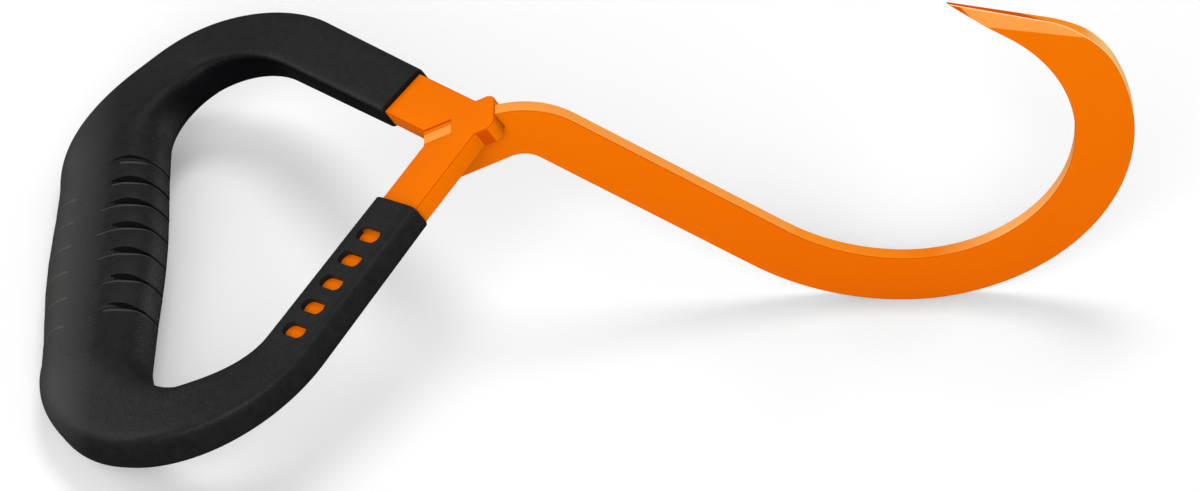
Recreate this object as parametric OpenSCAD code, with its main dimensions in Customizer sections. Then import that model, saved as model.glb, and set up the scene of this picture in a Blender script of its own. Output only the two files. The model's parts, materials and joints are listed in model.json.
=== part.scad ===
// Hand-held log hook: a flat steel hook set on edge, joined to a flat steel D frame
// whose loop is covered by a moulded grip. Sizes in millimetres.
// The hook's arc centre and the handle plate's top face set out everything:
// x runs along the handle plate, away from the grip, and y is square to that face.

/* [Hook] */
// Thickness of the hook's steel plate
hook_t = 4; // [3:0.5:6]
// Width of the bar, the same from the tail to the point
bar_w = 16.5; // [14:0.5:18]
// Inside radius of the hook
hook_r = 46; // [42:1:52]
// Inside radius of the wider bend that leads from the bar into the hook
lead_r = 60; // [54:1:70]
// Angle that the lead bend turns through
lead_turn = 31; // [20:1:40]
// Angle from the bar round to the point's straight inner edge
hook_turn = 182; // [174:1:188]
// Length of the point's straight inner edge
point_len = 20.6; // [18:0.2:24]
// Angle between the inner edge and the top edge at the tip
point_angle = 21; // [18:1:26]
// Radius of the heel, where the point's top edge runs into the back of the hook
heel_r = 30; // [20:1:36]
// Distance from the tip to where each ground bevel starts on the inner edge
bevel_start = 13; // [9:0.5:16]
// Angle between the bevel's border and the point's top edge
bevel_skew = 4; // [2:1:8]
// Slope of each ground bevel
bevel_slope = 15; // [10:1:20]

/* [Neck] */
// Height of the handle plate's top face over the hook's centre
neck_rise = 66; // [60:1:72]
// Angle between the bar and the handle plate
neck_bend = 64.5; // [60:0.5:70]
// Inside radius of the neck
neck_r = 7.5; // [5:0.5:12]

/* [Handle frame] */
// Thickness of the frame's steel plate
frame_t = 5.8; // [4:0.2:7]
// Width of the frame's arms and grip bar
frame_w = 15; // [12:0.5:17]
// Angle of each arm off the middle line
arm_angle = 48.7; // [46:0.1:52]
// Distance of the frame's crotch behind the hook's centre
crotch_back = 116.2; // [112:0.2:122]
// Length of the nose past the corners where it leaves the arms
nose_len = 6.2; // [4:0.2:8]
// Width of the nose
nose_w = 13.5; // [11:0.5:16]
// Corner radius of the nose
nose_r = 3; // [1:0.5:3.5]
// Depth of the slot in the crotch that takes the hook's tongue
slot_len = 6.2; // [4:0.2:8]
// Width of that slot
slot_w = 6.4; // [5.5:0.1:7]
// Mean radius of the frame's corners
frame_corner_r = 36.5; // [35:0.5:38]

/* [Joint] */
// Distance of the tongue's top below the plate's top face
tongue_drop = 0.5; // [0.2:0.1:1]
// Leg of the weld beads under the frame's bridge
weld_leg = 2; // [1:0.1:3]

/* [Grip cover] */
// Length of bare arm from the arms' crossing to the cover
bare_arm = 37; // [30:1:42]
// Wall of the cover beside the arms, at its ends
side_wall = 1.2; // [1:0.1:2.5]
// The same wall where the arms run into the corners
corner_side_wall = 1.6; // [1:0.1:3]
// Wall of the cover over the arms
top_wall = 1.8; // [1.4:0.1:3]
// Wall under the arms, at the cover's ends
under_wall = 1.5; // [1:0.1:3]
// Wall under the arms where they run into the corners
corner_under_wall = 2.8; // [1.2:0.1:4]
// Depth of the cover over the steel, half way round each corner
corner_over = 6; // [3:0.2:8]
// Depth of the cover under the steel at the same place
corner_under = 1.5; // [1:0.1:4]
// Depth of the grip over the steel
grip_over = 11.2; // [7:0.2:14]
// Depth of the grip under the steel
grip_under = 1.8; // [1:0.1:5]
// Distance of the grip's outer face behind the hook's centre, at mid grip
grip_back = 243.4; // [238:0.2:248]
// Width across the grip, at mid grip
grip_w = 37.4; // [33:0.2:42]
// How far the grip's outer and inner faces fall back at its ends
grip_bow = 1.7; // [0:0.1:3]
// Width of the whole loop
loop_w = 168; // [164:1:174]
// Width of the hand opening
window_w = 129.4; // [122:0.2:132]
// Radius of the bend at the loop's widest place
shoulder_r = 50.6; // [44:0.2:54]
// Angle that this bend turns through
shoulder_turn = 75.9; // [70:0.1:78]
// Radius of the outer bend into the grip
heel_bend_r = 46.7; // [40:0.1:52]
// Radius of the hand opening's bend at its widest place
throat_r = 28.5; // [24:0.1:34]
// Angle that this bend turns through
throat_turn = 58.9; // [50:0.1:66]
// Radius of the hand opening's bend into the grip
finger_r = 20; // [14:0.5:24]
// Number of grooves round the grip
groove_count = 7; // [3:1:8]
// Spacing of the grooves
groove_pitch = 9.8; // [8:0.2:11]
// Width of each groove
groove_w = 3; // [2:0.2:4]
// Depth of each groove
groove_depth = 0.6; // [0.2:0.1:1]
// Half angle of the plain palm strip along the top of the grip
palm_angle = 12; // [6:1:30]
// Angle past the palm strip over which the grooves reach their full depth
groove_fade = 20; // [10:1:40]

/* [Windows in the cover] */
// Number of slots that show the steel through the near arm's cover
window_count = 5; // [2:1:6]
// Spacing of the slots along the arm
window_pitch = 8.6; // [8:0.1:11]
// Length of each slot across the arm
slot_long = 9; // [7:0.5:10]
// Width of each slot along the arm
slot_wide = 4.4; // [3:0.2:6]
// Distance of the first slot from the cover's end
first_slot = 6; // [5:0.5:12]

/* [Hidden] */
$fn = 144;
hook_colour = "#F16F01";
frame_colour = "#F47701";
weld_colour = "#DB5500";
cover_colour = "#3A3C3D";
// Slack that makes a cutting tool pass clean through a face, less than the steel's thickness
past = 1;
// Largest turn between two points of a bend
arc_step = 2.5;

// Directions and points shared by the pieces
function unit(a) = [cos(a), sin(a)];
function smooth(t) = let (q = min(max(t, 0), 1)) q * q * (3 - 2 * q);
function mix(a, b, t) = a + (b - a) * t;
function flip(p) = [p[0], -p[1]];
function back_to_front(v) = [for (i = [len(v) - 1:-1:0]) v[i]];
// Points of a bend round c from angle a to angle b. A bend that starts where the last
// one ended leaves its first point out.
function arc(c, r, a, b, first = 0) =
    let (n = ceil(abs(b - a) / arc_step)) [for (i = [first:n]) c + r * unit(mix(a, b, i / n))];

// The bar, the bends and the point, seen in the hook's plane
bar_side = -(90 + neck_bend);
lead_end = bar_side + lead_turn;
arc_end = bar_side + hook_turn;
back_r = hook_r + bar_w;
bar_gap = lead_r - (lead_r - hook_r) * cos(lead_turn);
lead_c = -(lead_r - hook_r) * unit(lead_end);
neck_y = neck_rise - bar_w - neck_r;
neck_x = (bar_gap + bar_w + neck_r - sin(bar_side) * neck_y) / cos(bar_side);
neck_c = [neck_x, neck_y];
arc_foot = hook_r * unit(arc_end);
tip = arc_foot + point_len * unit(arc_end + 90);
top_angle = arc_end - 90 + point_angle;
top_dist = tip * unit(top_angle + 90);
heel_mid = (top_dist - heel_r) * unit(top_angle + 90)
         + sqrt(pow(back_r - heel_r, 2) - pow(top_dist - heel_r, 2)) * unit(top_angle);
heel_angle = atan2(heel_mid[1], heel_mid[0]);

// The frame, seen from above its plate
arm_rise = frame_w / sin(arm_angle);
arms_cross = -crotch_back + arm_rise;
nose_end = arms_cross + nose_len - nose_w / 2 / tan(arm_angle);
slot_end = -crotch_back + slot_len;
tail_end = -crotch_back - slot_w / 2 / tan(arm_angle);
frame_mid = neck_rise - frame_t / 2;
grip_mid = -grip_back + grip_w / 2;
corner_x = grip_mid + frame_corner_r;
axis_cross = arms_cross - arm_rise / 2;
corner_y = ((axis_cross - corner_x) * sin(arm_angle) - frame_corner_r) / cos(arm_angle);
corner_c = [corner_x, corner_y];
arm_dir = [-cos(arm_angle), sin(arm_angle)];
arm_out = [sin(arm_angle), cos(arm_angle)];

// The hook's outline: under the tail and down the back of the bar, round the hook to the
// tip, and back along the inside to the top of the tail
module hook_outline() {
    difference() {
        polygon(concat(
            [[tail_end, neck_rise - bar_w]],
            arc(neck_c, neck_r, 90, 90 - neck_bend),
            arc(lead_c, lead_r + bar_w, bar_side, lead_end),
            arc([0, 0], back_r, lead_end, heel_angle, 1),
            arc(heel_mid, heel_r, heel_angle, top_angle + 90, 1),
            [tip],
            arc([0, 0], hook_r, arc_end, lead_end),
            arc(lead_c, lead_r, lead_end, bar_side, 1),
            arc(neck_c, neck_r + bar_w, 90 - neck_bend, 90),
            [[tail_end, neck_rise]]));
        // Notch for the frame's bridge, and the lowered top of the tongue behind it
        translate([slot_end, neck_rise - frame_t]) square([nose_end - slot_end, frame_t + past]);
        translate([tail_end - past, neck_rise - tongue_drop])
            square([slot_end - tail_end + 2 * past, tongue_drop + past]);
    }
}

// Waste outside the ground bevel on one face of the point
module bevel_waste(side) {
    start = tip - bevel_start * unit(arc_end + 90);
    translate([start[0], side * hook_t / 2, start[1]])
        rotate([0, -(top_angle + bevel_skew), 0])
            mirror([0, side > 0 ? 0 : 1, 0])
                rotate([bevel_slope, 0, 0])
                    translate([-bar_w, 0, -bar_w]) cube([4 * bar_w, bar_w, 3 * bar_w]);
}

module hook() {
    color(hook_colour) lay() difference() {
        rotate([90, 0, 0]) linear_extrude(hook_t, center = true) hook_outline();
        for (side = [-1, 1]) bevel_waste(side);
    }
}

// Half of the frame's outer and inner edges, from the nose and the slot to the grip bar
outer_edge = concat(
    arc([nose_end - nose_r, nose_w / 2 - nose_r], nose_r, 0, 90),
    [[arms_cross - nose_w / 2 / tan(arm_angle), nose_w / 2]],
    arc(corner_c, frame_corner_r + frame_w / 2, 90 - arm_angle, 180));
inner_edge = concat(
    [[slot_end, slot_w / 2], [tail_end, slot_w / 2]],
    arc(corner_c, frame_corner_r - frame_w / 2, 90 - arm_angle, 180));
function both_halves(v) = concat(v, back_to_front([for (p = v) flip(p)]));

// The frame's plate, in the tool's own axes
module frame_plate() {
    translate([0, 0, neck_rise - frame_t]) linear_extrude(frame_t) difference() {
        polygon(both_halves(outer_edge));
        polygon(both_halves(inner_edge));
    }
}

module handle_frame() {
    color(frame_colour) lay() frame_plate();
}

// Heading measured from the grip's side of the arms toward the far side, and its inner normal
function head(d) = [-cos(d), sin(d)];
function inward(d) = [-sin(d), -cos(d)];

// One corner of the cover's outline: arm line, bend, straight, bend, grip line.
// It holds the two bends' centres, radii and headings and the length of the straight.
function corner(x0, x1, widest, r1, turn, r2) =
    let (d = arm_angle - turn,
         y1 = widest - r1 * (1 - cos(arm_angle)),
         c1 = [x0 - y1 / tan(arm_angle), y1] + r1 * inward(arm_angle),
         e = c1 - r1 * inward(d),
         run = (e[0] + r2 * (inward(d) - inward(-90))[0] - x1) / cos(d))
    [c1, r1, d, e, run, e + run * head(d) + r2 * inward(d), r2];
function along(k, f) =
    let (a = k[1] * (arm_angle - k[2]) * PI / 180,
         b = k[6] * (k[2] + 90) * PI / 180,
         q = f * (a + k[4] + b))
    q < a ? k[0] - k[1] * inward(arm_angle - q / k[1] * 180 / PI) :
    q < a + k[4] ? k[3] + (q - a) * head(k[2]) :
    k[5] - k[6] * inward(k[2] - (q - a - k[4]) / k[6] * 180 / PI);

outer = corner(arms_cross + corner_side_wall / sin(arm_angle), -grip_back + grip_bow, loop_w / 2,
               shoulder_r, shoulder_turn, heel_bend_r);
inner = corner(-crotch_back - corner_side_wall / sin(arm_angle),
               -grip_back + grip_w - grip_bow, window_w / 2, throat_r, throat_turn, finger_r);
cover_start = [arms_cross, 0] + bare_arm * arm_dir + side_wall * arm_out;

// Squareness of the cross-section: two is an ellipse, more is nearer a box. The arms are
// square on top and rounder below, and the grip is round all over.
arm_square = 7;
arm_under_square = 4;
grip_square = 2.5;
corner_steps = 14;
ring_points = 32;
groove_steps = 4;

// Each station of the sweep: outer point, inner point, depth over and under the steel,
// squareness over and under it, and groove depth
function arm_station() =
    [cover_start, cover_start - (frame_w + 2 * side_wall) * arm_out,
     top_wall, under_wall, arm_square, arm_under_square, 0];
function corner_station(f) =
    let (q = smooth(f < 0.5 ? 2 * f : 2 * f - 1))
    [along(outer, f), along(inner, f),
     f < 0.5 ? mix(top_wall, corner_over, q) : mix(corner_over, grip_over, q),
     f < 0.5 ? mix(corner_under_wall, corner_under, q) : mix(corner_under, grip_under, q),
     mix(arm_square, grip_square, f), mix(arm_under_square, grip_square, f), 0];
// How far a face of the grip has fallen back at y, when its straight ends at the given place
function fall(y, end) = grip_bow * (1 - cos(180 * y / end)) / 2;
function grip_station(y, g) =
    [[-grip_back + fall(y, along(outer, 1)[1]), y],
     [-grip_back + grip_w - fall(y, along(inner, 1)[1]), y],
     grip_over, grip_under, grip_square, grip_square, g];
groove_first = (groove_count - 1) / 2 * groove_pitch;
far_half = [arm_station(), for (i = [0:corner_steps]) corner_station(i / corner_steps)];
grooves = [for (k = [0:groove_count - 1], i = [0:groove_steps])
    let (u = i / groove_steps - 0.5)
    grip_station(groove_first - k * groove_pitch - u * groove_w,
                 groove_depth * (1 + cos(360 * u)) / 2)];
last = len(far_half) - 1;
near_half = [for (i = [last:-1:0]) let (s = far_half[i]) concat([flip(s[0]), flip(s[1])],
                                                               [for (k = [2:6]) s[k]])];
stations = concat(far_half, grooves, near_half);

function power(v, p) = sign(v) * pow(abs(v), 2 / p);
function ring(s) =
    let (m = (s[0] + s[1]) / 2, v = (s[0] - s[1]) / 2)
    [for (i = [0:ring_points - 1])
        let (a = 360 * i / ring_points,
             p = a < 180 ? s[4] : s[5],
             g = s[6] * smooth((abs(a - 90) - palm_angle) / groove_fade),
             flat = m + v * (1 - g / norm(v)) * power(cos(a), p),
             depth = frame_t / 2 + (a < 180 ? s[2] : s[3]) - g)
        [flat[0], flat[1], frame_mid + depth * power(sin(a), p)]];

// How the tool lies: the tilt at which the cover and the back of the hook both touch the floor,
// found by halving, and where the middle of its length then falls
skin = [for (s = stations) each ring(s)];
function lowest(t) = min([for (p = skin) p[0] * sin(t) + p[2] * cos(t)]);
function find_tilt(a, b, n) = n == 0 ? (a + b) / 2 :
    let (m = (a + b) / 2) lowest(m) > -back_r ? find_tilt(m, b, n - 1) : find_tilt(a, m, n - 1);
tilt = find_tilt(10, 60, 30);
middle = (back_r + min([for (p = skin) p[0] * cos(tilt) - p[2] * sin(tilt)])) / 2;

module lay() {
    translate([-middle, 0, back_r]) rotate([0, -tilt, 0]) children();
}

module cover_solid() {
    n = ring_points;
    rings = len(stations);
    sides = [for (r = [0:rings - 2], i = [0:n - 1], t = [0, 1])
        let (a = r * n + i, b = r * n + (i + 1) % n)
        t == 0 ? [a, b, a + n] : [b, b + n, a + n]];
    polyhedron(skin, concat([[for (i = [n - 1:-1:0]) i]], sides,
                              [[for (i = [0:n - 1]) (rings - 1) * n + i]]));
}

// A round-ended slot across the near arm, cut down to the steel
module window_cut(d) {
    at = flip([axis_cross, 0] + (bare_arm + d) * arm_dir);
    end = [0, (slot_long - slot_wide) / 2];
    translate([at[0], at[1], neck_rise - past]) rotate(arm_angle) linear_extrude(corner_over + 2 * past)
        polygon(concat(arc(end, slot_wide / 2, 0, 180), arc(-end, slot_wide / 2, 180, 360)));
}

module grip_cover() {
    color(cover_colour) lay() difference() {
        cover_solid();
        frame_plate();
        for (k = [0:window_count - 1]) window_cut(first_slot + k * window_pitch);
    }
}

// Bead in the corner between the hook's face and the underside of the frame's bridge
module nose_weld(side) {
    color(weld_colour) lay() intersection() {
        translate([slot_end, side * hook_t / 2, neck_rise - frame_t])
            rotate([0, 90, 0]) cylinder(r = weld_leg, h = nose_end - nose_r - slot_end);
        translate([slot_end - past, side > 0 ? hook_t / 2 : -hook_t / 2 - weld_leg,
                   neck_rise - frame_t - weld_leg])
            cube([nose_end - slot_end + 2 * past, weld_leg, weld_leg]);
    }
}
module near_nose_weld() { nose_weld(-1); }
module far_nose_weld() { nose_weld(1); }

// Weld metal between the tongue and one side of the slot
module slot_weld(side) {
    gap = (slot_w - hook_t) / 2;
    color(weld_colour) lay()
        translate([tail_end, side > 0 ? hook_t / 2 : -slot_w / 2, neck_rise - frame_t])
            cube([slot_end - tail_end, gap, frame_t - tongue_drop]);
}
module near_slot_weld() { slot_weld(-1); }
module far_slot_weld() { slot_weld(1); }

hook();
handle_frame();
grip_cover();
near_nose_weld();
far_nose_weld();
near_slot_weld();
far_slot_weld();
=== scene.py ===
# Hand-held log hook: orange painted steel hook and D frame, with a black moulded grip cover.
# Lengths are metres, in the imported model's frame: +X runs from the grip to the hook, +Z is up.
import json
import math

import bpy
from mathutils import Matrix, Vector

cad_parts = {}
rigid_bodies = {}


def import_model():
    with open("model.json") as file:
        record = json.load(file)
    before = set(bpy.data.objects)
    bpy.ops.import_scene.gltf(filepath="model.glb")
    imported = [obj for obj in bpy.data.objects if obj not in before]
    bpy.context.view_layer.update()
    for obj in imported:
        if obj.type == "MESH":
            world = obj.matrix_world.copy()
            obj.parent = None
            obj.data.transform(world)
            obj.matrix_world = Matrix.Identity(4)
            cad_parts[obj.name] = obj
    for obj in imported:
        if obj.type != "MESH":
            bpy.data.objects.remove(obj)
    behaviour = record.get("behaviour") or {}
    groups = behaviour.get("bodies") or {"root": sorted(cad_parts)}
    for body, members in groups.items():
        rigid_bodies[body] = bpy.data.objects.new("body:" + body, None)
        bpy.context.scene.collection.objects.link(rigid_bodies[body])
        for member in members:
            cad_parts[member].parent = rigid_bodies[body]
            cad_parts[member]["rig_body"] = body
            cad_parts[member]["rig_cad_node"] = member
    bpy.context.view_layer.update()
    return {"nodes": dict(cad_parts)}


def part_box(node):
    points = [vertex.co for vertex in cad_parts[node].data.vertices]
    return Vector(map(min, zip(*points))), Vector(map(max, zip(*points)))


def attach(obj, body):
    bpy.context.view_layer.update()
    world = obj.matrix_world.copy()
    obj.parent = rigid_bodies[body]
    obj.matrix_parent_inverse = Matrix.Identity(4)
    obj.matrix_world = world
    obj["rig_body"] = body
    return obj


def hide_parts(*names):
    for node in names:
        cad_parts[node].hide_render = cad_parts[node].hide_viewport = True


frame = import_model()

MM = 0.001

# The steel, in the tool's own axes: x along the handle plate, y across it, z square to it
HOOK_BACK_R = 62.5 * MM
HOOK_T = 4.0 * MM
PLATE_TOP = 66.0 * MM
FRAME_T = 5.8 * MM
FRAME_W = 15.0 * MM
ARM_ANGLE = math.radians(48.7)
CROTCH_X = -116.2 * MM

# Joining, rounding and shading
JOIN_GAP = 0.002 * MM
JOIN_ANGLE = math.radians(0.4)
RING_GAP = 0.001 * MM
EDGE_ROUND = 0.35 * MM
ROUND_STEPS = 8
SHARP_ANGLE = math.radians(30)
STEEL_SHARP_ANGLE = math.radians(13)

# The grip cover's walls over, under and beside the steel
BARE_ARM = 37.0 * MM
SIDE_WALL = 1.2 * MM
CORNER_SIDE_WALL = 1.6 * MM
TOP_WALL = 1.8 * MM
UNDER_WALL = 1.5 * MM
CORNER_UNDER_WALL = 2.8 * MM
CORNER_OVER = 6.0 * MM
CORNER_UNDER = 1.5 * MM
GRIP_OVER = 11.2 * MM
GRIP_UNDER = 1.8 * MM
END_ROUND = 0.5 * MM

# The cover's outline
GRIP_BACK = 243.4 * MM
GRIP_W = 37.4 * MM
GRIP_BOW = 1.7 * MM
LOOP_W = 168.0 * MM
WINDOW_W = 129.4 * MM
SHOULDER_R = 50.6 * MM
SHOULDER_TURN = math.radians(75.9)
HEEL_BEND_R = 46.7 * MM
THROAT_R = 28.5 * MM
THROAT_TURN = math.radians(58.9)
FINGER_R = 20.0 * MM

# How square the cover's section is: 2 is an ellipse, and a larger value is nearer to a box
ARM_SQUARE = 7.0
ARM_UNDER_SQUARE = 4.0
GRIP_SQUARE = 2.5
ROUNDING_POWER = 1.7

# The finger grooves, from the far end of the grip to the near end
GROOVE_STRENGTH = (0.5, 1, 1, 1, 1, 1, 0.8)
FIRST_GROOVE = 32.7 * MM
GROOVE_PITCH = 8.8 * MM
PITCH_GROWTH = 0.5 * MM
GROOVE_W = 3.0 * MM
GROOVE_DEPTH = 1.0 * MM
GROOVE_WALL = 0.4
GROOVE_FADE = math.radians(8)
PALM_ANGLE = math.radians(12)
CREST_ANGLE = math.radians(35)
CRESCENT_END = math.radians(64)
ARCH = 1.5 * MM
NARROW_SHARE = 0.4
SHALLOW_SHARE = 0.75
OUTER_GROOVE_SHARE = 0.2

# Which faces round a groove get painted shade or a painted highlight, by their place across it
# and their angle
PLAIN, GROOVE, RIM, PALM_GLINT = range(4)
GROOVE_DARK = 0.5
GROOVE_RIM = 0.78
RIM_END = 1.14
RIM_LEADS = tuple(math.radians(lead) for lead in (-15, -6, 2, 4, 2, -8, -11))
DARK_START = math.radians(16)
DARK_DRIFT = math.radians(1.7)
DARK_END = math.radians(66)
DARK_FULLNESS = 0.6
# Painted highlights where the grooves cross the palm side: the first groove that has one, and
# their angles
FIRST_PALM_GLINT = 1
PALM_GLINT_ANGLES = (math.radians(12), math.radians(58))

# The slots and the mouths of the cover
SLOT_COUNT = 5
SLOT_PITCH = 8.6 * MM
SLOT_LONG = 9.0 * MM
SLOT_WIDE = 4.4 * MM
SLOT_VERTICES = 48
FIRST_SLOT = 6.0 * MM
SLOT_SINK = 0.5 * MM
MOUTH_DEPTH = 5.0 * MM
MOUTH_GAP = 1.15 * MM
MOUTH_SIDE_GAP = 0.45 * MM

# How finely the cover is drawn
RING_POINTS = 96
END_RINGS = 5
CORNER_RINGS = 72
GROOVE_RINGS = 14

# Which faces of the steel get painted light or painted shade: the hook's heel is the bend behind
# its point
FACET_HIGHLIGHT, CUT_EDGE_LIGHT, HEEL_EDGE_LIGHT, HEEL_BORDER_HIGHLIGHT, BORDER_SHADE = range(1, 6)
NOSE_SHADE = 1
FACET_LEAN = (0.9, 0.985)
SMALLEST_FACET = MM * MM
CUT_LEAN = 0.3
HEEL_DEPTH = 40 * MM
HEEL_SIDE = 95 * MM
NOSE_LEAN = 0.98
BORDER_LEAN = (0.3, 0.9)

# Tones, as they show: the darkest and the lightest of each coat; some are painted light or shade
ORANGE = ((244, 117, 0), (248, 121, 0))
# Painted highlight: the ground bevels at the hook's point lighter, where the light falls on them
LIT_BEVEL_ORANGE = ((252, 158, 70), (255, 166, 78))
# Painted highlight on the heel's rounded border, where the light catches it
LIT_HEEL_ORANGE = ((255, 205, 150), (255, 214, 160))
# Painted shade on the nose's side walls and on the steel's rounded borders
SHADED_ORANGE = ((208, 74, 0), (214, 80, 0))
BLACK = ((17, 18, 19), (34, 35, 34))
# Painted shade on the grooves' far walls, which the light does not reach
GROOVE_SHADE_BLACK = ((8, 9, 11), (11, 12, 14))
# Painted highlight: the thin light line on each groove's near rim
RIM_HIGHLIGHT_GREY = ((56, 57, 56), (64, 64, 62))
# Painted highlight: short light lines where the grooves' edges cross the palm side
PALM_GLINT_GREY = ((78, 78, 76), (86, 86, 84))

# The cut edges' painted light: a tone for how far they face away from the grip, as the light
# falls on that side
FACING_RANGE = (-1, 1)
EDGE_LIGHT_TONES = ((0.2, (255, 172, 92)), (0.42, (243, 124, 14)), (0.77, (252, 146, 34)),
              (0.9, (255, 203, 128)))
NEW_STOP = 0.5

# Where a coat changes: the direction, where along it the change starts and ends, the new tone
POINT_ORANGE = (212, 84, 0)
HEEL_X = 132.8 * MM
HEEL_LONG = 19 * MM
HEEL_START = 0.5 - HEEL_X / HEEL_LONG
HEEL_BLUR = 0.08
TIP_SLOPE = 0.9
TIP_START = 204.4 * MM
TIP_BLUR = 0.5 * MM
# Painted shade: the main orange darker toward the bottom
LOW_CHANGE = ((0, 0, -1), -90 * MM, 0, (243, 109, 0))
# Where the point bevels' painted highlight gives way to a darker orange, toward the grip and down
TIP_CHANGE = ((-1, 0, -TIP_SLOPE), -TIP_START, TIP_BLUR - TIP_START, POINT_ORANGE)
# Where the heel edge's painted light turns to a darker orange, toward the grip and the near face
HEEL_CHANGE = ((-1 / HEEL_LONG, -1 / HOOK_T, 0), HEEL_START - HEEL_BLUR, HEEL_START,
               POINT_ORANGE)
# Painted highlight: the cut edges lighter higher up and toward the grip, along the neck
NECK_CHANGE = ((-1, 0, 1), -20 * MM, 60 * MM, (253, 158, 66))
# Painted sheen: the palm side of the grip lighter, where the light falls on it
PALM_SHEEN_CHANGE = ((-1, 0, 0), 136 * MM, 149 * MM, (60, 60, 59))
# Painted shade on the far arm's inner wall: where it lies, which way it faces, and its colour
INNER_WALL_Y = (0, 30 * MM)
INNER_WALL_LEAN = (-0.2, -0.75)
INNER_WALL_SHADE = (5, 6, 9)

# Gloss and grain
WHITE = (1.0, 1.0, 1.0, 1.0)
PAINT_ROUGHNESS = (0.38, 0.46)
PAINT_SPECULAR = 0.04
PAINT_TINT = (1.0, 0.5, 0.02, 1.0)
ORANGE_BOUNCE = (0.22, 0.18, 0.16, 1.0)
PLASTIC_ROUGHNESS = (0.4, 0.5)
PLASTIC_SPECULAR = 0.15
GROOVE_SPECULAR = 0.02
RIM_SPECULAR = 0.3
PALM_GLINT_SPECULAR = 0.2
GRAIN_INPUTS = ("Fine Scale", "Fine Height", "Wave Scale", "Wave Height")
PAINT_GRAIN = (1400.0, 0.012 * MM, 90.0, 0.06 * MM)
PLASTIC_GRAIN = (1500.0, 0.18 * MM, 420.0, 0.08 * MM)
NOISE_DETAIL = (("Wave", 2), ("Fine", 3))

# The curve between the values of a screen's colours and the light that they stand for
SCREEN_WHITE = 255
CURVE_FOOT = 10
FOOT_SLOPE = 12.92
CURVE_LIFT = 0.055
CURVE_POWER = 2.4

# The camera that took the photograph, placed from the hook's centre and the handle plate
PLATE_SLOPE = math.radians(29.43)
CAMERA_PLACE = (-86.55 * MM, -1082.2 * MM, 1012.3 * MM)
CAMERA_TILT = math.radians(45.73)
CAMERA_LENS = 159.14
CAMERA_SENSOR = 36.0

# The studio: each lamp's name, place, target, size and power in watts
LAMPS = (
    ("top_light", (0.1, 0.35, 1.5), (0, 0, 0), 0.6, 6.0),
    ("left_light", (-1.4, 0.5, 0.6), (-0.05, 0, 0), 0.8, 6.0),
    ("front_fill", (-0.3, -1.6, 1.05), (0, 0, 0.05), 1.8, 28.0),
    ("right_panel", (1.5, 0.7, 0.3), (0.1, 0, 0.06), 0.8, 9.0),
)
WORLD_LIGHT = 0.3
FLOOR_SIZE = 6.0
FLOOR_ROUGHNESS = 0.9
FLOOR_COLOUR = (0.92, 0.92, 0.92, 1.0)
FLOOR_BOUNCE = (0.6, 0.6, 0.6, 1.0)
FLOOR_MIRRORED = (0.08, 0.08, 0.08, 1.0)
FLOOR_GLOW = 0.13


# Selecting and shaping, as by hand

def select_only(piece):
    bpy.ops.object.select_all(action="DESELECT")
    piece.select_set(True)
    bpy.context.view_layer.objects.active = piece


def added(add, **settings):
    """Adds something while nothing is selected, and hands it back."""
    bpy.ops.object.select_all(action="DESELECT")
    add(**settings)
    return bpy.context.object


def in_edit_mode(piece, work):
    select_only(piece)
    bpy.ops.object.mode_set(mode="EDIT")
    bpy.ops.mesh.select_all(action="SELECT")
    work()
    bpy.ops.object.mode_set(mode="OBJECT")


def apply_modifier(piece, kind, **settings):
    modifier = piece.modifiers.new(kind.title(), kind)
    for name, value in settings.items():
        setattr(modifier, name, value)
    select_only(piece)
    bpy.ops.object.modifier_apply(modifier=modifier.name)


def shade(piece, angle=SHARP_ANGLE):
    select_only(piece)
    bpy.ops.object.shade_smooth_by_angle(angle=angle)


def copy_of_node(node, name):
    """A loose copy of a CAD node, with its triangles joined back into whole faces."""
    select_only(frame["nodes"][node])
    bpy.ops.object.duplicate()
    piece = bpy.context.object
    piece.name = name
    piece.parent = None
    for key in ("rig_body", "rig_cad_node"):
        if key in piece:
            del piece[key]

    def join_faces():
        bpy.ops.mesh.remove_doubles(threshold=JOIN_GAP)
        bpy.ops.mesh.dissolve_limited(angle_limit=JOIN_ANGLE)

    in_edit_mode(piece, join_faces)
    return piece


# The tool's own axes in the model's frame

def tool_axes():
    """Turns a point given along the handle plate into the model's frame."""
    mesh = frame["nodes"]["handle_frame"].data
    top = max((p for p in mesh.polygons if p.normal.z > 0), key=lambda p: p.area)
    tilt = math.atan2(-top.normal.x, top.normal.z)
    centre = Vector((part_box("hook")[1].x - HOOK_BACK_R, 0, HOOK_BACK_R))
    return Matrix.Translation(centre) @ Matrix.Rotation(-tilt, 4, "Y")


TOOL = tool_axes()


# Flat geometry of the cover's outline, the same as the CAD model's

def head(angle):
    """Heading of the outline, turned from the grip's side of the arms to the far side."""
    return Vector((-math.cos(angle), math.sin(angle)))


def inward(angle):
    return Vector((-math.sin(angle), -math.cos(angle)))


def mix(a, b, t):
    return a + (b - a) * t


def smooth(t):
    q = min(max(t, 0), 1)
    return q * q * (3 - 2 * q)


ARM_DIR = head(ARM_ANGLE)
ARM_OUT = -inward(ARM_ANGLE)
ARMS_CROSS = CROTCH_X + FRAME_W / math.sin(ARM_ANGLE)
AXIS_CROSS = (CROTCH_X + ARMS_CROSS) / 2


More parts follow.
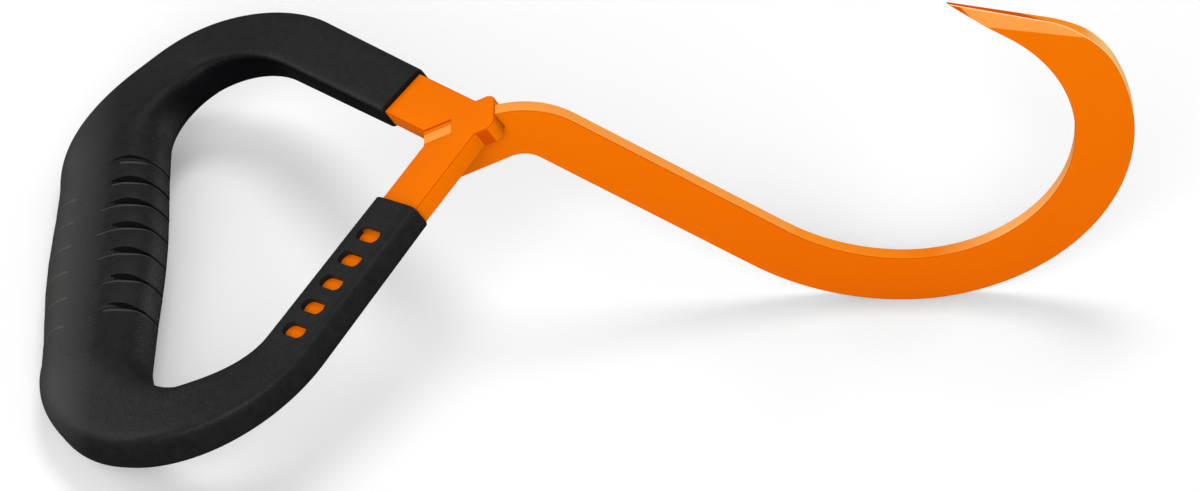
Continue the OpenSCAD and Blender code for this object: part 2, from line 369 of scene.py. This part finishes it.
class Corner:
    """One corner of the cover's outline: arm line, bend, straight, bend, grip line."""

    def __init__(self, x_on_middle, x_grip, half_width, radius, turn, second_radius):
        self.radius, self.second_radius = radius, second_radius
        self.angle = ARM_ANGLE - turn
        start_y = half_width - radius * (1 - math.cos(ARM_ANGLE))
        start = Vector((x_on_middle - start_y / math.tan(ARM_ANGLE), start_y))
        self.centre = start + radius * inward(ARM_ANGLE)
        self.straight = self.centre - radius * inward(self.angle)
        turned = second_radius * (inward(self.angle) - inward(-math.pi / 2)).x
        self.run = (self.straight.x + turned - x_grip) / math.cos(self.angle)
        self.second_centre = (self.straight + self.run * head(self.angle)
                              + second_radius * inward(self.angle))
        self.first_bend = radius * turn
        self.second_bend = second_radius * (self.angle + math.pi / 2)

    def point(self, share):
        """The point that lies a share of the way from the arm to the grip."""
        q = share * (self.first_bend + self.run + self.second_bend)
        if q < self.first_bend:
            return self.centre - self.radius * inward(ARM_ANGLE - q / self.radius)
        q -= self.first_bend
        if q < self.run:
            return self.straight + q * head(self.angle)
        q -= self.run
        heading = self.angle - q / self.second_radius
        return self.second_centre - self.second_radius * inward(heading)


OUTER = Corner(ARMS_CROSS + CORNER_SIDE_WALL / math.sin(ARM_ANGLE), -GRIP_BACK + GRIP_BOW,
               LOOP_W / 2, SHOULDER_R, SHOULDER_TURN, HEEL_BEND_R)
INNER = Corner(CROTCH_X - CORNER_SIDE_WALL / math.sin(ARM_ANGLE),
               -GRIP_BACK + GRIP_W - GRIP_BOW, WINDOW_W / 2, THROAT_R, THROAT_TURN, FINGER_R)


def power(value, square):
    return math.copysign(abs(value) ** (2 / square), value)


def crescent(from_top):
    """How full a groove is at an angle down the finger side: nothing at both its ends."""
    share = (from_top - PALM_ANGLE) / (CRESCENT_END - PALM_ANGLE)
    return math.sin(math.pi * min(max(share, 0), 1))


class Station:
    """One cross-section of the cover: outer and inner point, then depth and squareness over
    and under the steel. In a groove it also has the groove's depth, its place across the
    groove and the groove's number."""

    def __init__(self, outer, inner, over, under, square, under_square, trim=0.0):
        self.outer, self.inner = outer, inner
        self.over, self.under = over, under
        self.square, self.under_square = square, under_square
        self.trim = trim
        self.groove = self.across = self.number = None

    def mirrored(self):
        outer, inner = (Vector((side.x, -side.y)) for side in (self.outer, self.inner))
        return Station(outer, inner, self.over, self.under, self.square, self.under_square,
                       self.trim)

    def in_groove(self, angle):
        """How far the surface is sunk at an angle, and how far it is pushed along the grip."""
        on_fingers = math.cos(angle) < 0
        from_top = abs(angle - math.pi / 2)
        full = crescent(from_top) if on_fingers else 0.0
        depth = self.groove * mix(SHALLOW_SHARE, 1, full)
        depth *= 1 if on_fingers else OUTER_GROOVE_SHARE
        sunk = depth * smooth((from_top - PALM_ANGLE) / GROOVE_FADE)
        shift = (0.5 - self.across) * GROOVE_W * mix(NARROW_SHARE, 1, full)
        up_slope = (CREST_ANGLE - from_top) / (CREST_ANGLE - PALM_ANGLE)
        shift -= ARCH * min(max(up_slope, 0), 1) ** 2
        return sunk, shift

    def at(self, angle):
        """The surface's point at an angle, counted from the outer side over the top."""
        middle = (self.outer + self.inner) / 2
        half = (self.outer - self.inner) / 2
        on_top = math.sin(angle) >= 0
        square = self.square if on_top else self.under_square
        sunk, shift = self.trim, 0.0
        if self.groove is not None:
            sunk, shift = self.in_groove(angle)
        depth = FRAME_T / 2 + (self.over if on_top else self.under) - sunk
        flat = middle + half * (1 - sunk / half.length) * power(math.cos(angle), square)
        level = depth * power(math.sin(angle), square)
        return TOOL @ Vector((flat.x, flat.y + shift, PLATE_TOP - FRAME_T / 2 + level))


def arm_station(back, trim=0.0):
    """Section across the arm, a distance back from the cover's end."""
    outer = Vector((ARMS_CROSS, 0)) + (BARE_ARM + back) * ARM_DIR + SIDE_WALL * ARM_OUT
    inner = outer - (FRAME_W + 2 * SIDE_WALL) * ARM_OUT
    return Station(outer, inner, TOP_WALL, UNDER_WALL, ARM_SQUARE, ARM_UNDER_SQUARE, trim=trim)


def corner_station(share):
    """Section across a corner, a share of the way from the arm to the grip."""
    if share < 0.5:
        q = smooth(2 * share)
        over, under = mix(TOP_WALL, CORNER_OVER, q), mix(CORNER_UNDER_WALL, CORNER_UNDER, q)
    else:
        q = smooth(2 * share - 1)
        over, under = mix(CORNER_OVER, GRIP_OVER, q), mix(CORNER_UNDER, GRIP_UNDER, q)
    rounder = share ** ROUNDING_POWER
    return Station(OUTER.point(share), INNER.point(share), over, under,
                   mix(ARM_SQUARE, GRIP_SQUARE, rounder),
                   mix(ARM_UNDER_SQUARE, GRIP_SQUARE, rounder))


def fallen(y, straight_end):
    """How far a face of the grip has fallen back at y."""
    return GRIP_BOW * (1 - math.cos(math.pi * y / straight_end)) / 2


def grip_station(number, across):
    """Section across the grip, at a place across one of its grooves."""
    y = FIRST_GROOVE - number * GROOVE_PITCH - number * (number - 1) / 2 * PITCH_GROWTH
    outer = Vector((-GRIP_BACK + fallen(y, OUTER.point(1).y), y))
    inner = Vector((-GRIP_BACK + GRIP_W - fallen(y, INNER.point(1).y), y))
    station = Station(outer, inner, GRIP_OVER, GRIP_UNDER, GRIP_SQUARE, GRIP_SQUARE)
    depth = smooth(across / GROOVE_WALL) * smooth((1 - across) / (1 - GROOVE_WALL))
    station.groove = GROOVE_STRENGTH[number] * GROOVE_DEPTH * depth
    station.across, station.number = across, number
    return station


def cover_stations():
    turns = [math.radians(90 * i / END_RINGS) for i in range(END_RINGS + 1)]
    rounded_end = [arm_station(END_ROUND * (1 - math.cos(turn)), END_ROUND * (1 - math.sin(turn)))
                   for turn in turns]
    half = rounded_end + [corner_station(i / CORNER_RINGS) for i in range(CORNER_RINGS + 1)]
    places = [i / GROOVE_RINGS for i in range(GROOVE_RINGS + 1)] + [RIM_END]
    grip = [grip_station(number, across) for number in range(len(GROOVE_STRENGTH))
            for across in places]
    return half + grip + [station.mirrored() for station in reversed(half)]


def groove_tone(station, angle):
    """Which plastic a face has: plain, painted shade in a groove, or a painted highlight
    on its rim or where it crosses the palm side.
    """
    from_top = angle - math.pi / 2
    if station.number is None or from_top > math.pi / 2:
        return PLAIN
    before_end = station.across < RIM_END
    if PALM_GLINT_ANGLES[0] < -from_top < PALM_GLINT_ANGLES[1]:
        marked = station.number >= FIRST_PALM_GLINT and station.across > GROOVE_DARK
        return PALM_GLINT if marked and before_end else PLAIN
    if station.across > GROOVE_RIM:
        past_start = from_top > PALM_ANGLE - RIM_LEADS[station.number]
        return RIM if past_start and before_end else PLAIN
    dark_start = DARK_START + station.number * DARK_DRIFT
    dark_share = (from_top - dark_start) / (DARK_END - DARK_START)
    if not 0 < dark_share < 1:
        return PLAIN
    width = GROOVE_STRENGTH[station.number] * math.sin(math.pi * dark_share) ** DARK_FULLNESS
    return GROOVE if station.across < GROOVE_DARK * width else PLAIN


def grip_cover():
    """A grid drawn round the loop: from -1 to 1 in x are the stations, in y the angles."""
    stations = cover_stations()
    last = len(stations) - 1
    cover = added(bpy.ops.mesh.primitive_grid_add, x_subdivisions=last,
                  y_subdivisions=RING_POINTS, size=2)
    cover.name = "moulded_grip_cover"
    for face in cover.data.polygons:
        face.material_index = groove_tone(stations[int((face.center.x + 1) / 2 * last)],
                                          math.pi * (face.center.y + 1))
    for vertex in cover.data.vertices:
        station = stations[round((vertex.co.x + 1) / 2 * last)]
        vertex.co = station.at(math.pi * (vertex.co.y + 1))

    def close():
        bpy.ops.mesh.remove_doubles(threshold=RING_GAP)
        bpy.ops.mesh.select_all(action="DESELECT")
        bpy.ops.mesh.select_mode(type="EDGE")
        bpy.ops.mesh.select_non_manifold(extend=False)
        bpy.ops.mesh.edge_face_add()
        bpy.ops.mesh.select_all(action="SELECT")
        bpy.ops.mesh.normals_make_consistent(inside=False)

    in_edit_mode(cover, close)
    return cover


def cut_away(piece, cutter):
    apply_modifier(piece, "BOOLEAN", object=cutter, operation="DIFFERENCE", solver="EXACT")
    bpy.data.objects.remove(cutter)


def slot_cutter(distance):
    """A round-ended cutter across the near arm."""
    at = Vector((AXIS_CROSS, 0)) + (BARE_ARM + distance) * ARM_DIR
    cutter = added(bpy.ops.mesh.primitive_cylinder_add, vertices=SLOT_VERTICES,
                   radius=SLOT_WIDE / 2, depth=GRIP_OVER)
    stretch = (SLOT_LONG - SLOT_WIDE) / 2
    for vertex in cutter.data.vertices:
        vertex.co.y += math.copysign(stretch, vertex.co.y)
    place = Matrix.Translation((at.x, -at.y, PLATE_TOP - SLOT_SINK + GRIP_OVER / 2))
    cutter.data.transform(TOOL @ place @ Matrix.Rotation(ARM_ANGLE, 4, "Z"))
    return cutter


def mouth_cutter(side):
    """The gap over the steel just inside one end of the cover."""
    cutter = added(bpy.ops.mesh.primitive_cube_add, size=1)
    at = Vector((AXIS_CROSS, 0)) + BARE_ARM * ARM_DIR
    width = FRAME_W + 2 * MOUTH_SIDE_GAP
    size = Matrix.Diagonal((2 * MOUTH_DEPTH, width, FRAME_T / 2 + MOUTH_GAP, 1))
    place = Matrix.Translation((at.x, side * at.y, PLATE_TOP - FRAME_T / 4 + MOUTH_GAP / 2))
    cutter.data.transform(TOOL @ place @ Matrix.Rotation(-side * ARM_ANGLE, 4, "Z") @ size)
    return cutter


# Nodes that the materials share

def plug(tree, value, socket):
    """Fills a socket with another node's output, or with a plain value."""
    if isinstance(value, bpy.types.NodeSocket):
        tree.links.new(value, socket)
    else:
        socket.default_value = value


def colour_mix(tree, factor, under, over):
    mixer = tree.nodes.new("ShaderNodeMix")
    mixer.data_type = "RGBA"
    plug(tree, factor, mixer.inputs["Factor"])
    plug(tree, under, mixer.inputs["A"])
    plug(tree, over, mixer.inputs["B"])
    return mixer.outputs["Result"]


def product(tree, first, second):
    multiply = tree.nodes.new("ShaderNodeMath")
    multiply.operation = "MULTIPLY"
    plug(tree, first, multiply.inputs[0])
    plug(tree, second, multiply.inputs[1])
    return multiply.outputs["Value"]


def ranged(tree, value, start, end, low=0, high=1):
    """A value carried from the range between start and end into that between low and high."""
    mapped = tree.nodes.new("ShaderNodeMapRange")
    plug(tree, value, mapped.inputs["Value"])
    for name, limit in (("From Min", start), ("From Max", end), ("To Min", low), ("To Max", high)):
        plug(tree, limit, mapped.inputs[name])
    return mapped.outputs["Result"]


def one_axis(tree, coordinates, axis):
    """One axis of a point's place, or of the way that its face looks."""
    place = tree.nodes.new("ShaderNodeTexCoord")
    parts = tree.nodes.new("ShaderNodeSeparateXYZ")
    plug(tree, place.outputs[coordinates], parts.inputs["Vector"])
    return parts.outputs[axis]


def surface_grain_group():
    """Fine grain on soft waviness, as a normal and as the waviness's mask."""
    group = bpy.data.node_groups.new("surface_grain", "ShaderNodeTree")
    face = group.interface
    for name in GRAIN_INPUTS:
        face.new_socket(name=name, in_out="INPUT", socket_type="NodeSocketFloat")
    face.new_socket(name="Normal", in_out="OUTPUT", socket_type="NodeSocketVector")
    face.new_socket(name="Mask", in_out="OUTPUT", socket_type="NodeSocketFloat")
    inputs = group.nodes.new("NodeGroupInput")
    outputs = group.nodes.new("NodeGroupOutput")
    place = group.nodes.new("ShaderNodeTexCoord")
    normal = None
    for kind, detail in NOISE_DETAIL:
        noise = group.nodes.new("ShaderNodeTexNoise")
        bump = group.nodes.new("ShaderNodeBump")
        plug(group, detail, noise.inputs["Detail"])
        plug(group, place.outputs["Object"], noise.inputs["Vector"])
        plug(group, inputs.outputs[kind + " Scale"], noise.inputs["Scale"])
        plug(group, noise.outputs["Fac"], bump.inputs["Height"])
        plug(group, inputs.outputs[kind + " Height"], bump.inputs["Distance"])
        if normal is None:
            plug(group, noise.outputs["Fac"], outputs.inputs["Mask"])
        else:
            plug(group, normal, bump.inputs["Normal"])
        normal = bump.outputs["Normal"]
    plug(group, normal, outputs.inputs["Normal"])
    return group


GRAIN = surface_grain_group()


# Materials

def linear(red, green, blue):
    """A colour written as it shows, turned into the values that the shader mixes."""
    return tuple(((c / SCREEN_WHITE + CURVE_LIFT) / (1 + CURVE_LIFT)) ** CURVE_POWER
                 if c > CURVE_FOOT else c / SCREEN_WHITE / FOOT_SLOPE
                 for c in (red, green, blue)) + (1.0,)


def new_material(name):
    material = bpy.data.materials.new(name)
    material.use_nodes = True
    tree = material.node_tree
    return material, tree, tree.nodes["Principled BSDF"].inputs


def grained(name, tones, roughness, grain_values, specular, tint=WHITE):
    """A coat whose tone and roughness follow the grain."""
    material, tree, shader = new_material(name)
    plug(tree, specular, shader["Specular IOR Level"])
    plug(tree, tint, shader["Specular Tint"])
    grain = tree.nodes.new("ShaderNodeGroup")
    grain.node_tree = GRAIN
    for socket, value in zip(GRAIN_INPUTS, grain_values):
        plug(tree, value, grain.inputs[socket])
    mask = grain.outputs["Mask"]
    dark, light = tones
    plug(tree, colour_mix(tree, mask, linear(*dark), linear(*light)), shader["Base Color"])
    plug(tree, ranged(tree, mask, 0, 1, *roughness), shader["Roughness"])
    plug(tree, grain.outputs["Normal"], shader["Normal"])
    return material


def orange_paint(name, tones):
    return grained(name, tones, PAINT_ROUGHNESS, PAINT_GRAIN, PAINT_SPECULAR, PAINT_TINT)


def black_plastic(name, tones, specular):
    return grained(name, tones, PLASTIC_ROUGHNESS, PLASTIC_GRAIN, specular)


def blend_colour(material, factor, colour):
    """Blends a colour over the one that a material has, by a factor."""
    tree = material.node_tree
    base = tree.nodes["Principled BSDF"].inputs["Base Color"]
    plug(tree, colour_mix(tree, factor, base.links[0].from_socket, colour), base)


def split_colour(material, direction, start, end, colour):
    """Gives the part of a piece that lies further along a direction another colour."""
    tree = material.node_tree
    place = tree.nodes.new("ShaderNodeTexCoord")
    along = tree.nodes.new("ShaderNodeVectorMath")
    along.operation = "DOT_PRODUCT"
    plug(tree, place.outputs["Object"], along.inputs[0])
    plug(tree, direction, along.inputs[1])
    blend_colour(material, ranged(tree, along.outputs["Value"], start, end), linear(*colour))
    return material


def edge_paint(name):
    """Painted light along the hook's cut edges: a lighter or darker tone for each way they
    face, as the light falls on them."""
    material = orange_paint(name, ORANGE)
    tree = material.node_tree
    facing = ranged(tree, one_axis(tree, "Normal", "X"), *FACING_RANGE)
    tones = tree.nodes.new("ShaderNodeValToRGB")
    stops = tones.color_ramp.elements
    for _ in EDGE_LIGHT_TONES[2:]:
        stops.new(NEW_STOP)
    for stop, (position, colour) in zip(stops, EDGE_LIGHT_TONES):
        stop.position = position
        stop.color = linear(*colour)
    plug(tree, facing, tones.inputs["Fac"])
    plug(tree, tones.outputs["Color"], tree.nodes["Principled BSDF"].inputs["Base Color"])
    return material


def paint_inner_wall_shade(plastic):
    """Painted shade on the far arm's wall toward the hand opening."""
    tree = plastic.node_tree
    far = ranged(tree, one_axis(tree, "Object", "Y"), *INNER_WALL_Y)
    facing = ranged(tree, one_axis(tree, "Normal", "Y"), *INNER_WALL_LEAN)
    blend_colour(plastic, product(tree, far, facing), linear(*INNER_WALL_SHADE))


def quiet_bounce(piece):
    """Keeps the orange from colouring the floor round it."""
    for material in piece.data.materials:
        if "quiet" not in material:
            rays = material.node_tree.nodes.new("ShaderNodeLightPath")
            blend_colour(material, rays.outputs["Is Diffuse Ray"], ORANGE_BOUNCE)
            material["quiet"] = True


def give(piece, material):
    piece.data.materials.clear()
    piece.data.materials.append(material)


# The pieces

def steel_piece(node, name, material):
    piece = copy_of_node(node, name)
    apply_modifier(piece, "BEVEL", width=EDGE_ROUND, segments=ROUND_STEPS,
                   limit_method="ANGLE", angle_limit=SHARP_ANGLE, harden_normals=False)
    shade(piece, STEEL_SHARP_ANGLE)
    give(piece, material)
    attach(piece, "root")
    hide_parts(node)
    return piece


def paint_hook(hook, coats):
    """Paints light and shade on the hook: a painted highlight on the ground bevels of the point,
    painted light on the plate's cut edges and the heel's edge, a painted highlight on the heel's
    rounded border and painted shade on the other rounded borders, in the order of the coats'
    numbers."""
    for coat in coats:
        hook.data.materials.append(coat)
    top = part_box("hook")[1].z
    for face in hook.data.polygons:
        lean = abs(face.normal.y)
        on_heel = (face.center.z > top - HEEL_DEPTH and face.center.x > HEEL_SIDE
                   and face.normal.x + face.normal.z > 0)
        if FACET_LEAN[0] < lean < FACET_LEAN[1] and face.area > SMALLEST_FACET:
            face.material_index = FACET_HIGHLIGHT
        elif lean < CUT_LEAN:
            face.material_index = HEEL_EDGE_LIGHT if on_heel else CUT_EDGE_LIGHT
        elif lean < FACET_LEAN[0]:
            face.material_index = HEEL_BORDER_HIGHLIGHT if on_heel else BORDER_SHADE


def paint_nose(loop, paint):
    """Painted shade on the nose's side walls and on the rounded border of the plate."""
    loop.data.materials.append(paint)
    flat = max(loop.data.polygons, key=lambda face: face.area).normal
    for face in loop.data.polygons:
        on_border = BORDER_LEAN[0] < abs(face.normal.dot(flat)) < BORDER_LEAN[1]
        if abs(face.normal.y) > NOSE_LEAN or on_border:
            face.material_index = NOSE_SHADE


def build_steel():
    # The main orange, with painted shade toward the bottom
    paint = split_colour(orange_paint("orange_powder_paint", ORANGE), *LOW_CHANGE)
    shade_tone_paint = orange_paint("painted_shade_orange", SHADED_ORANGE)
    hook = steel_piece("hook", "hook_plate", paint)
    paint_hook(hook, (
        split_colour(orange_paint("painted_highlight_on_point_bevels", LIT_BEVEL_ORANGE), *TIP_CHANGE),
        split_colour(edge_paint("painted_light_on_cut_edges"), *NECK_CHANGE),
        split_colour(edge_paint("painted_light_on_heel_edge"), *HEEL_CHANGE),
        orange_paint("painted_highlight_on_heel_border", LIT_HEEL_ORANGE),
        shade_tone_paint,
    ))
    loop = steel_piece("handle_frame", "handle_loop", paint)
    paint_nose(loop, shade_tone_paint)
    quiet_bounce(hook)
    quiet_bounce(loop)
    for node in ("near_nose_weld", "far_nose_weld", "near_slot_weld", "far_slot_weld"):
        give(frame["nodes"][node], paint)


def build_cover():
    cover = grip_cover()
    cut_away(cover, copy_of_node("handle_frame", "pocket"))
    for k in range(SLOT_COUNT):
        cut_away(cover, slot_cutter(FIRST_SLOT + k * SLOT_PITCH))
    for side in (-1, 1):
        cut_away(cover, mouth_cutter(side))
    shade(cover)
    plastic = black_plastic("black_moulded_plastic", BLACK, PLASTIC_SPECULAR)
    # Painted sheen: lighter on the palm side
    split_colour(plastic, *PALM_SHEEN_CHANGE)
    # Painted shade on the far arm's inner wall
    paint_inner_wall_shade(plastic)
    # Painted shade in the grooves, and painted highlights on their rims and on the palm side
    for coat in (plastic, black_plastic("groove_painted_shade", GROOVE_SHADE_BLACK, GROOVE_SPECULAR),
                 black_plastic("rim_painted_highlight", RIM_HIGHLIGHT_GREY, RIM_SPECULAR),
                 black_plastic("palm_painted_glint", PALM_GLINT_GREY, PALM_GLINT_SPECULAR)):
        cover.data.materials.append(coat)
    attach(cover, "root")
    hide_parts("grip_cover")


# The studio

def floor_material():
    """Pale to the camera, and duller in the light that it throws back on the tool."""
    material, tree, shader = new_material("pale_floor")
    rays = tree.nodes.new("ShaderNodeLightPath").outputs
    unseen = colour_mix(tree, rays["Is Glossy Ray"], FLOOR_BOUNCE, FLOOR_MIRRORED)
    seen = colour_mix(tree, rays["Is Camera Ray"], unseen, FLOOR_COLOUR)
    plug(tree, seen, shader["Base Color"])
    plug(tree, FLOOR_ROUGHNESS, shader["Roughness"])
    plug(tree, 0.0, shader["Specular IOR Level"])
    plug(tree, WHITE, shader["Emission Color"])
    plug(tree, product(tree, rays["Is Camera Ray"], FLOOR_GLOW), shader["Emission Strength"])
    return material


def lamp(name, place, target, size, watts):
    light = added(bpy.ops.object.light_add, type="AREA", location=place)
    light.name = name
    light.data.shape = "DISK"
    light.data.size = size
    light.data.energy = watts
    aim = Vector(target) - Vector(place)
    light.rotation_euler = aim.to_track_quat("-Z", "Y").to_euler()


def build_studio():
    floor = added(bpy.ops.mesh.primitive_plane_add, size=FLOOR_SIZE)
    floor.name = "studio_floor"
    give(floor, floor_material())
    for settings in LAMPS:
        lamp(*settings)
    world = bpy.data.worlds.new("studio")
    bpy.context.scene.world = world
    world.use_nodes = True
    background = world.node_tree.nodes["Background"].inputs
    background["Color"].default_value = WHITE
    background["Strength"].default_value = WORLD_LIGHT
    bpy.context.scene.view_settings.view_transform = "Standard"


def build_camera():
    camera = added(bpy.ops.object.camera_add)
    camera.name = "photo_camera"
    camera.data.sensor_fit = "HORIZONTAL"
    camera.data.sensor_width = CAMERA_SENSOR
    camera.data.lens = CAMERA_LENS
    camera.matrix_world = (TOOL @ Matrix.Rotation(PLATE_SLOPE, 4, "Y")
                           @ Matrix.Translation(CAMERA_PLACE)
                           @ Matrix.Rotation(CAMERA_TILT, 4, "X"))
    bpy.context.scene.camera = camera


build_camera()
build_studio()
build_cover()
build_steel()
